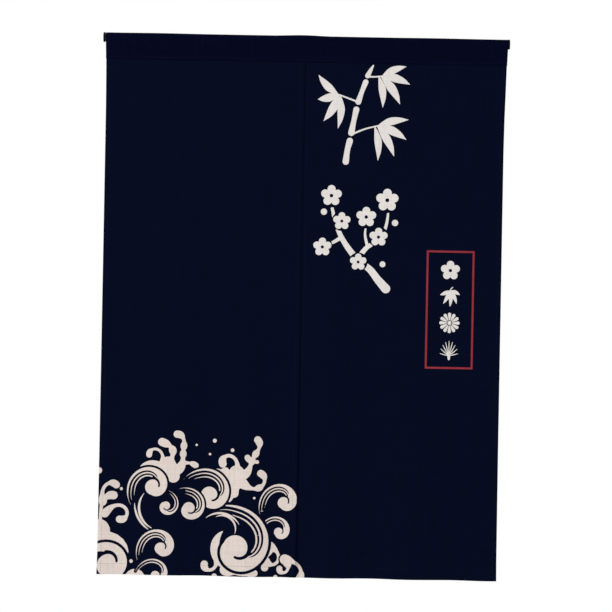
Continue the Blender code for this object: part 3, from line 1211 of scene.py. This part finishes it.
        for u in [low[0], *us, high[0]]:
            add_line((u, low[1]), (u, high[1]))
        for v in [low[1], *vs, high[1]]:
            add_line((low[0], v), (high[0], v))
        points.extend(self.free_points(points, low, high))
        scaled = [Vector(point / MM) for point in points]
        found = delaunay_2d_cdt(scaled, edges, [], 0, 0.005, False)
        flat = np.array([tuple(vertex) for vertex in found[0]]) * MM
        return flat, np.array(found[2])

    def free_points(self, taken: list, low: np.ndarray, high: np.ndarray) -> list[np.ndarray]:
        """Evenly spread points between the lines, none of them close to a point already taken."""
        tree = kdtree.KDTree(len(taken))
        for index, point in enumerate(taken):
            tree.insert((point[0], point[1], 0.0), index)
        tree.balance()
        columns = round((high[0] - low[0]) / self.grid)
        rows = round((high[1] - low[1]) / (self.grid * 0.9))
        found = []
        for row in range(1, rows):
            shift = 0.25 if row % 2 else 0.75
            for column in range(columns):
                share = np.array([(column + shift) / columns, row / rows])
                point = low + (high - low) * share
                if tree.find((point[0], point[1], 0.0))[2] > self.margin:
                    found.append(point)
        return found

    def build(self, finder: OutlineFinder, finishes: Finishes) -> bpy.types.Object:
        """Makes the panel's cloth.

        Args:
            finder: What finds the print's outlines, which holds the print.
            finishes: The materials.

        Returns:
            The finished piece.
        """
        flat, triangles = self.flat_mesh(finder)
        dyes = dyes_at(self.print_points(flat[triangles].mean(axis=1)), finder.shapes)
        obj = sheet_object(self.name, self.place(flat), triangles.tolist(), flat, CLOTH_THICKNESS)
        obj.data.polygons.foreach_set("material_index", dyes.astype(np.int32))
        solidify = obj.modifiers[0]
        solidify.material_offset = len(Dye)
        solidify.material_offset_rim = len(Dye)
        log.info("%s: %d triangles in the flat cloth", self.name, len(triangles))
        return dress(obj, finishes.printed, "panel_cloth", self.node)

    def stitch_lines(self, front: bool) -> list[np.ndarray]:
        """The rows of points along which the hems are sewn, on the front or the back."""
        half = CLOTH_THICKNESS / 2 + 0.00008
        top = CLOTH_BOTTOM - HEADING_DEPTH - 0.001
        steps = np.linspace(0, 1, 160)
        inset = SIDE_HEM - STITCH_INSET
        low = BOTTOM_HEM - STITCH_INSET
        end = 0.002
        first = end if front else low + 0.004
        rise = first + (top - first) * steps
        rows = [(np.full_like(steps, u), rise, SIDE_BEND_RADIUS) for u in (inset, self.front - inset)]
        rows.append((end + (self.front - 2 * end) * steps, np.full_like(steps, low), BOTTOM_BEND_RADIUS))
        lines = []
        for u, v, bend in rows:
            points = self.place(np.column_stack([u, v]))
            points[:, 1] += -half if front else 2 * bend + half
            lines.append(points)
        return lines


@dataclass
class Heading:
    """The strip of cloth folded over the rod, whose lower edges hold the panels.

    Its flat place is u along the rod and v round the pocket, from its front lower edge.
    """

    name: str = "heading_strip"
    left: tuple[float, float] = (-0.4443, -0.4437)
    right: tuple[float, float] = (0.4458, 0.4447)
    thickness: float = 0.0006
    pocket_radius: float = 0.0103
    front_y: float = -0.00155
    back_y: float = 0.0018
    flap: float = 0.008
    bend: float = 0.0003
    columns: int = 200

    # Where the strip stands proud of the rod: the middle, half the width and the height
    LIFTS = ((-0.318, 0.110, 0.0005), (-0.008, 0.070, 0.0018), (0.290, 0.120, 0.0004))

    # How far the layers bow out between the seam and the rod, and where the seam is sewn
    BOW = 0.0006
    SEAM_HEIGHT = 0.004

    @property
    def length(self) -> float:
        """The strip's length round the pocket, from one flap's edge to the other's."""
        return float(np.linalg.norm(np.diff(self.path(), axis=0), axis=1).sum())

    def side_path(self, y: float) -> list[tuple[float, float]]:
        """The points of one layer, from its flap's edge down, round and up over the rod.

        Args:
            y: The place of the layer's lower part, negative in front.

        Returns:
            Pairs of y and z.
        """
        sign = -1.0 if y < 0 else 1.0
        lowest = -HEADING_DEPTH + self.bend + self.thickness / 2
        inner_y = y - sign * 2 * self.bend
        points = [(inner_y, lowest + self.flap * share) for share in (1.0, 0.66, 0.33, 0.0)]
        for step in range(1, 6):
            angle = math.pi * step / 5
            points.append(
                (y - sign * self.bend * (1 + math.cos(angle)), lowest - self.bend * math.sin(angle))
            )
        seam_z = -HEADING_DEPTH + SEAM_ALLOWANCE
        points += [(y, lowest + (seam_z - lowest) * share) for share in (0.3, 0.65, 1.0)]
        distance = math.hypot(y, seam_z)
        touch = math.atan2(abs(y), -seam_z) + math.acos(self.pocket_radius / distance)
        count = 14
        angles = [touch + (math.pi - touch) * step / count for step in range(count + 1)]
        radius = self.pocket_radius
        over = [(sign * radius * math.sin(angle), -radius * math.cos(angle)) for angle in angles]
        touch_y, touch_z = over[0]
        for step in range(1, 9):
            share = step / 9
            bow = self.BOW * math.sin(math.pi * share)
            points.append((y + (touch_y - y) * share + sign * bow, seam_z + (touch_z - seam_z) * share))
        return points + over

    def path(self) -> np.ndarray:
        """The strip's cross-section as rows of y and z, from the front flap to the back one."""
        front = self.side_path(self.front_y)
        back = self.side_path(self.back_y)
        return np.array(front + back[::-1][1:])

    def lift_at(self, x: np.ndarray) -> np.ndarray:
        """How far the strip stands proud of the rod's top."""
        return sum(height * hump(x - middle, half_width) for middle, half_width, height in self.LIFTS)

    def build(self, finishes: Finishes) -> bpy.types.Object:
        """Makes the strip."""
        path = self.path()
        steps = np.linalg.norm(np.diff(path, axis=0), axis=1)
        along = np.concatenate([[0.0], np.cumsum(steps)])
        shares = np.linspace(0, 1, self.columns + 1)
        rows = []
        flats = []
        for (y, z), distance in zip(path, along):
            down = min(max(-z / HEADING_DEPTH, 0.0), 1.0)
            left = self.left[0] + (self.left[1] - self.left[0]) * down
            right = self.right[0] + (self.right[1] - self.right[0]) * down
            x = left + (right - left) * shares
            lift = max(0.0, z / self.pocket_radius)
            slack = math.sin(math.pi * down) * 0.5
            wave = np.sin(x / 0.023 + 1.3 * np.sin(x / 0.071)) * 0.00022 + np.sin(x / 0.0094) * 0.00007
            side = 1.0 if y > 0 else -1.0
            z_row = z + lift * self.lift_at(x)
            y_row = y + side * slack * wave + self.stitch_dip(z, side)
            rows.append(np.column_stack([x, y_row, z_row]))
            flats.append(np.column_stack([x - left, np.full_like(x, distance)]))
        faces = grid_faces(len(path), self.columns + 1)
        obj = sheet_object(self.name, np.vstack(rows), faces, np.vstack(flats), self.thickness)
        log.info("%s: %d faces in the strip", self.name, len(faces))
        return dress(obj, [finishes.heading], "heading_cloth", "heading")

    def stitch_dip(self, z: float, side: float) -> float:
        """How far the seam's stitches draw the strip in."""
        away = (z + HEADING_DEPTH - self.SEAM_HEIGHT) / STITCH_DIP_WIDTH
        return -side * STITCH_DIP * math.exp(-away * away)

    def stitch_lines(self) -> list[np.ndarray]:
        """The seam's stitches along the front and the back, near the strip's lower edge."""
        z = -HEADING_DEPTH + self.SEAM_HEIGHT
        x = np.linspace(self.left[1] + 0.003, self.right[1] - 0.003, 200)
        lines = []
        for y, side in ((self.front_y, -1.0), (self.back_y, 1.0)):
            level = y + side * (self.thickness / 2 - 0.00008)
            lines.append(np.column_stack([x, np.full_like(x, level), np.full_like(x, z)]))
        return lines


def grid_faces(rows: int, columns: int) -> list[tuple[int, int, int, int]]:
    """The faces of a grid of points, wound so that they face the front."""
    return [
        (r * columns + c, r * columns + c + 1, (r + 1) * columns + c + 1, (r + 1) * columns + c)
        for r in range(rows - 1)
        for c in range(columns - 1)
    ]


@dataclass
class StitchMaker:
    """Geometry Nodes that lay short stitches along lines of edges."""

    pitch: float = 0.0040
    length: float = 0.0031
    width: float = 0.00042
    seed: int = 7

    def tree(self) -> bpy.types.NodeTree:
        """Builds the node tree, with its sizes as named inputs."""
        tree = bpy.data.node_groups.new("stitches_along_lines", "GeometryNodeTree")
        face = tree.interface
        face.new_socket("Geometry", in_out="INPUT", socket_type="NodeSocketGeometry")
        for name in ("Pitch", "Length", "Width"):
            face.new_socket(name, in_out="INPUT", socket_type="NodeSocketFloat")
        face.new_socket("Seed", in_out="INPUT", socket_type="NodeSocketInt")
        face.new_socket("Thread", in_out="INPUT", socket_type="NodeSocketMaterial")
        face.new_socket("Geometry", in_out="OUTPUT", socket_type="NodeSocketGeometry")
        given = add_node(tree, "NodeGroupInput").outputs
        line = add_node(tree, "GeometryNodeMeshToCurve", mesh=given["Geometry"])
        spaced = add_node(
            tree, "GeometryNodeResampleCurve", {"mode": "LENGTH"},
            curve=line.outputs[0], length=given["Pitch"],
        )
        bead = add_node(tree, "GeometryNodeMeshUVSphere", segments=6, rings=4, radius=0.5)
        size = add_node(
            tree, "ShaderNodeCombineXYZ", x=given["Length"], y=given["Width"], z=given["Width"]
        )
        stitch = add_node(
            tree, "GeometryNodeTransform", geometry=bead.outputs["Mesh"], scale=size.outputs[0]
        )
        tangent = add_node(tree, "GeometryNodeInputTangent")
        turn = add_node(
            tree, "FunctionNodeAlignRotationToVector", {"axis": "X"}, vector=tangent.outputs[0]
        )
        tilt = add_node(
            tree, "FunctionNodeRandomValue", {"data_type": "FLOAT_VECTOR"},
            i0=(-0.05, -0.05, -0.05), i1=(0.05, 0.05, 0.05), seed=given["Seed"],
        )
        tilted = add_node(
            tree, "FunctionNodeRotateRotation", {"rotation_space": "LOCAL"},
            rotation=turn.outputs[0], rotate_by=tilt.outputs[0],
        )
        laid = add_node(
            tree, "GeometryNodeInstanceOnPoints", points=spaced.outputs[0],
            instance=stitch.outputs[0], rotation=tilted.outputs[0],
        )
        real = add_node(tree, "GeometryNodeRealizeInstances", geometry=laid.outputs[0])
        smooth = add_node(tree, "GeometryNodeSetShadeSmooth", geometry=real.outputs[0])
        dyed = add_node(
            tree, "GeometryNodeSetMaterial", geometry=smooth.outputs[0], material=given["Thread"]
        )
        add_node(tree, "NodeGroupOutput", geometry=dyed.outputs[0])
        return tree

    def build(
        self, name: str, lines: list, slot: str, tree: bpy.types.NodeTree, thread: bpy.types.Material
    ) -> bpy.types.Object:
        """Sews stitches along lines.

        Args:
            name: The new piece's name.
            lines: Arrays of points, one for each row of stitches.
            slot: The record's material slot, which is not used.
            tree: The node tree.
            thread: The thread's material.

        Returns:
            The stitches as one plain mesh.
        """
        points = []
        edges = []
        for line in lines:
            first = len(points)
            points += line.tolist()
            edges += [(first + i, first + i + 1) for i in range(len(line) - 1)]
        guide_mesh = bpy.data.meshes.new(name + "_guide")
        guide_mesh.from_pydata(points, edges, [])
        guide = new_object(name + "_guide", guide_mesh)
        modifier = guide.modifiers.new("stitches", "NODES")
        modifier.node_group = tree
        values = {
            "Pitch": self.pitch, "Length": self.length, "Width": self.width, "Seed": self.seed,
            "Thread": thread,
        }
        for item in tree.interface.items_tree:
            if item.in_out == "INPUT" and item.name in values:
                modifier[item.identifier] = values[item.name]
        graph = bpy.context.evaluated_depsgraph_get()
        mesh = bpy.data.meshes.new_from_object(guide.evaluated_get(graph))
        bpy.data.objects.remove(guide, do_unlink=True)
        obj = new_object(name, mesh)
        mesh.name = name
        log.info("%s: %d faces of stitches", name, len(mesh.polygons))
        return dress(obj, [thread], slot)


def turned_mesh(name: str, profile: list, segments: int, sharp_angle: float) -> bpy.types.Mesh:
    """Turns a profile about the X axis.

    Args:
        name: The mesh's name.
        profile: (x, radius) points, with the outside on the left of the way along them.
        segments: How many sides the round has.
        sharp_angle: The angle in degrees past which an edge stays sharp.

    Returns:
        A mesh whose ends on the axis are closed.
    """
    points = []
    rings = []
    for x, radius in profile:
        if radius == 0.0:
            rings.append([len(points)] * segments)
            points.append((x, 0.0, 0.0))
            continue
        rings.append(list(range(len(points), len(points) + segments)))
        for step in range(segments):
            angle = 2 * math.pi * step / segments
            points.append((x, radius * math.cos(angle), radius * math.sin(angle)))
    faces = []
    closed = profile[0][1] != 0.0
    pairs = list(zip(rings, rings[1:] + ([rings[0]] if closed else [])))
    for ring, after in pairs if closed else pairs[: len(rings) - 1]:
        for step in range(segments):
            up = (step + 1) % segments
            corners = [ring[step], ring[up], after[up], after[step]]
            faces.append(list(dict.fromkeys(corners)))
    mesh = bpy.data.meshes.new(name)
    mesh.from_pydata(points, [], faces)
    mesh.validate()
    mesh.shade_smooth()
    mesh.set_sharp_from_angle(angle=math.radians(sharp_angle))
    return mesh


@dataclass
class Rod:
    """The steel tube and the plugs in its two ends."""

    segments: int = 96
    head_rounding: float = 0.0016
    dimple_radius: float = 0.0018
    dimple_depth: float = 0.0004
    collar: float = 0.0006

    def tube(self, finishes: Finishes) -> bpy.types.Object:
        """The tube, open at both ends, with its edges eased."""
        outer = ROD_DIAMETER / 2
        inner = outer - ROD_WALL
        half = ROD_LENGTH / 2 - PLUG_HEAD_LENGTH - FIT_GAP
        ease = 0.00015
        profile = [
            (half - ease, outer), (half, outer - ease), (half, inner), (-half, inner),
            (-half, outer - ease), (-half + ease, outer),
        ]
        obj = new_object("rod_tube", turned_mesh("rod_tube", profile, self.segments, 35))
        return dress(obj, [finishes.steel], "rod_steel", "rod")

    def plug(self, name: str, node: str, side: int, finishes: Finishes) -> bpy.types.Object:
        """An end plug: a round head with a moulding dimple, and a stem inside the tube."""
        head = PLUG_HEAD_DIAMETER / 2
        stem = ROD_DIAMETER / 2 - ROD_WALL - FIT_GAP
        rounding = self.head_rounding
        end = ROD_LENGTH / 2
        profile = [(end - self.dimple_depth, 0.0), (end - self.dimple_depth, self.dimple_radius * 0.7)]
        profile += [(end - 0.0001, self.dimple_radius), (end, self.dimple_radius + 0.0002)]
        for step in range(9):
            angle = math.radians(90 * step / 8)
            profile.append(
                (end - rounding + rounding * math.cos(angle), head - rounding + rounding * math.sin(angle))
            )
        back = end - PLUG_HEAD_LENGTH
        profile += [(back + 0.0003, head), (back, head - 0.0003), (back, stem)]
        far = back - PLUG_STEM_LENGTH
        profile += [(far + 0.001, stem), (far, stem - 0.001), (far, 0.0)]
        mesh = turned_mesh(name, profile, self.segments, 40)
        if side > 0:
            mesh.flip_normals()
        else:
            mesh.transform(Matrix.Scale(-1.0, 4, (1.0, 0.0, 0.0)))
        return dress(new_object(name, mesh), [finishes.plug], "end_plug_plastic", node)


LEFT_FOLDS = (
    Fold(top_x=-0.442, bottom_x=-0.444, start=0.30, half_width=0.046, rise=0.0045),
    Fold(top_x=-0.372, bottom_x=-0.385, start=0.16, half_width=0.062, rise=-0.0035),
    Fold(top_x=-0.285, bottom_x=-0.302, start=0.09, half_width=0.068, rise=0.0060),
    Fold(top_x=-0.205, bottom_x=-0.212, start=0.42, half_width=0.058, rise=-0.0060),
    Fold(top_x=-0.128, bottom_x=-0.112, start=0.20, half_width=0.064, rise=0.0065),
    Fold(top_x=-0.048, bottom_x=-0.040, start=0.52, half_width=0.046, rise=-0.0040),
    Fold(top_x=-0.004, bottom_x=-0.002, start=0.46, half_width=0.040, rise=0.0030),
)
LEFT_DRAGS = (
    Drag(from_x=-0.300, from_depth=0.58, to_x=-0.252, to_depth=0.74, half_width=0.034, sink=0.0018),
    Drag(from_x=-0.300, from_depth=0.85, to_x=-0.110, to_depth=0.80, half_width=0.038, sink=0.0022),
)
RIGHT_FOLDS = (
    Fold(top_x=-0.004, bottom_x=-0.006, start=0.55, half_width=0.038, rise=-0.0025),
    Fold(top_x=0.056, bottom_x=0.074, start=0.22, half_width=0.060, rise=0.0060),
    Fold(top_x=0.142, bottom_x=0.160, start=0.50, half_width=0.064, rise=-0.0070),
    Fold(top_x=0.258, bottom_x=0.246, start=0.12, half_width=0.072, rise=0.0065),
    Fold(top_x=0.336, bottom_x=0.344, start=0.60, half_width=0.056, rise=-0.0055),
    Fold(top_x=0.406, bottom_x=0.412, start=0.34, half_width=0.050, rise=0.0050),
)
RIGHT_DRAGS = (
    Drag(from_x=0.308, from_depth=0.68, to_x=0.068, to_depth=0.86, half_width=0.040, sink=0.0026),
    Drag(from_x=0.372, from_depth=0.80, to_x=0.318, to_depth=1.04, half_width=0.036, sink=0.0020),
)


class Print:
    """The whole printed design, which runs over both panels. Its upper motifs are paler."""

    # Where the two painted plants have their middles, in the print's millimetres
    BAMBOO_X = 570.6
    BAMBOO_Y = 1030.5
    PLUM_X = 561.4
    PLUM_Y = 755.7

    def shapes(self) -> list[Shape]:
        """Every shape, in the order in which it is painted."""
        sprig = Sprig()
        upper = moved(sprig.bamboo(), self.BAMBOO_X, self.BAMBOO_Y)
        upper += moved(sprig.plum(), self.PLUM_X, self.PLUM_Y)
        upper += RedPanel().shapes()
        for shape in upper:
            if shape.dye is Dye.CREAM:
                shape.dye = Dye.PALE
        return WaveOrnament().shapes() + upper


@dataclass
class Curtain:
    """The curtain's pieces, in the order in which they are made."""

    finishes: Finishes = field(default_factory=Finishes)

    def build(self) -> None:
        self.finishes.build()
        rod = Rod()
        tube = rod.tube(self.finishes)
        rod.plug("left_end_plug", "end_plug_left", -1, self.finishes)
        rod.plug("right_end_plug", "end_plug_right", 1, self.finishes)
        heading = Heading()
        strip = heading.build(self.finishes)
        maker = StitchMaker()
        tree = maker.tree()
        thread = self.finishes.thread
        seam = maker.build("heading_stitches", heading.stitch_lines(), "heading_cloth", tree, thread)
        heading.length
        finder = OutlineFinder(Print().shapes())
        for panel in self.panels():
            cloth = panel.build(finder, self.finishes)
            lines = panel.stitch_lines(True) + panel.stitch_lines(False)
            sewn = maker.build(panel.name + "_stitches", lines, "panel_cloth", tree, thread)
            panel.flat_size
            log.info("%s: cut %.3f by %.3f m", panel.name, *panel.flat_size)

    def panels(self) -> list[Panel]:
        """The two panels."""
        right_start = (SLIT_BOTTOM_X + SLIT_GAP / 2 - PRINT_ORIGIN_X) / MM
        return [
            Panel("left_cloth", "left_panel", True, LEFT_FOLDS, LEFT_DRAGS, 0.0),
            Panel("right_cloth", "right_panel", False, RIGHT_FOLDS, RIGHT_DRAGS, right_start),
        ]


@dataclass
class Studio:
    """The pale floor, the soft light and the camera at the photo's angle.

    There is no wall behind the curtain, so that it can be looked at from all sides.
    """

    floor_z: float = -1.50
    floor_radius: float = 2.0
    distance: float = 6.0
    sensor: float = 36.0
    surround: float = 0.66

    def floor(self) -> None:
        """A round white floor well below the curtain."""
        count = 96
        radius = self.floor_radius
        angles = [2 * math.pi * step / count for step in range(count)]
        points = [(radius * math.cos(angle), radius * math.sin(angle), self.floor_z) for angle in angles]
        mesh = bpy.data.meshes.new("pale_floor")
        mesh.from_pydata(points, [], [list(range(count))])
        obj = new_object("pale_floor", mesh)
        material, tree, shader = new_material("matt_white_floor_paint")
        place = add_node(tree, "ShaderNodeTexCoord").outputs["Object"]
        grain = add_node(tree, "ShaderNodeTexNoise", vector=place, scale=260.0, detail=3.0)
        bump = add_node(
            tree, "ShaderNodeBump", strength=0.05, distance=0.0005, height=grain.outputs["Fac"]
        )
        wire(
            tree, shader, base_color=linear("#fbfbfb"), normal=bump.outputs["Normal"],
            roughness=1.0, specular_ior_level=0.0,
        )
        mesh.materials.append(material)

    def lamp(self, name: str, place: tuple, size: float, power: float) -> None:
        """A square soft light at a place, turned towards the curtain's middle."""
        light = bpy.data.lights.new(name, "AREA")
        light.size = size
        light.energy = power
        obj = new_object(name, light)
        obj.location = place
        middle = Vector((0.0, 0.0, -CLOTH_BOTTOM / 2))
        obj.rotation_euler = (middle - Vector(place)).to_track_quat("-Z", "Y").to_euler()

    def surroundings(self) -> None:
        """White surroundings, pure white to the camera and dimmer as a light."""
        world = bpy.data.worlds.new("white_surroundings")
        world.use_nodes = True
        tree = world.node_tree
        seen = add_node(tree, "ShaderNodeLightPath").outputs["Is Camera Ray"]
        strength = add_node(tree, "ShaderNodeMapRange", value=seen, to_min=self.surround, to_max=1.0)
        white = (1.0, 1.0, 1.0, 1.0)
        wire(tree, tree.nodes["Background"], color=white, strength=strength.outputs[0])
        bpy.context.scene.world = world

    def lights(self) -> None:
        """A key lamp at the upper left, a weaker one at the right and one behind."""
        self.surroundings()
        self.lamp("key_light", (-2.9, -2.5, 1.0), 1.1, 62.0)
        self.lamp("fill_light", (3.0, -3.2, 0.3), 2.0, 24.0)
        self.lamp("back_light", (0.8, 4.0, 1.2), 2.0, 40.0)

    def camera(self) -> None:
        """A long lens square to the curtain, turned as the photo is."""
        turn_cos = math.cos(PICTURE_TURN)
        turn_sin = math.sin(PICTURE_TURN)
        off_x = IMAGE_SIZE / 2 - ROD_PIXEL_X
        off_y = IMAGE_SIZE / 2 - ROD_PIXEL_Y
        x = MM_PER_PIXEL * (off_x * turn_cos + off_y * turn_sin) * MM
        depth = MM_PER_PIXEL * (off_y * turn_cos - off_x * turn_sin) * MM
        data = bpy.data.cameras.new("camera")
        data.sensor_width = self.sensor
        data.lens = self.sensor * self.distance / (IMAGE_SIZE * MM_PER_PIXEL * MM)
        data.clip_end = 60.0
        obj = new_object("camera", data)
        obj.matrix_world = Matrix((
            (turn_cos, -turn_sin, 0.0, x),
            (0.0, 0.0, -1.0, -self.distance),
            (turn_sin, turn_cos, 0.0, -depth),
            (0.0, 0.0, 0.0, 1.0),
        ))
        bpy.context.scene.camera = obj

    def build(self) -> None:
        """Sets the stage."""
        self.floor()
        self.lights()
        self.camera()
        bpy.context.scene.view_settings.view_transform = "Standard"


def main() -> None:
    """Builds the curtain and its studio."""
    logging.basicConfig(level=logging.INFO, format="%(message)s", stream=sys.stdout)
    Curtain().build()
    Studio().build()


if __name__ == "__main__":
    main()
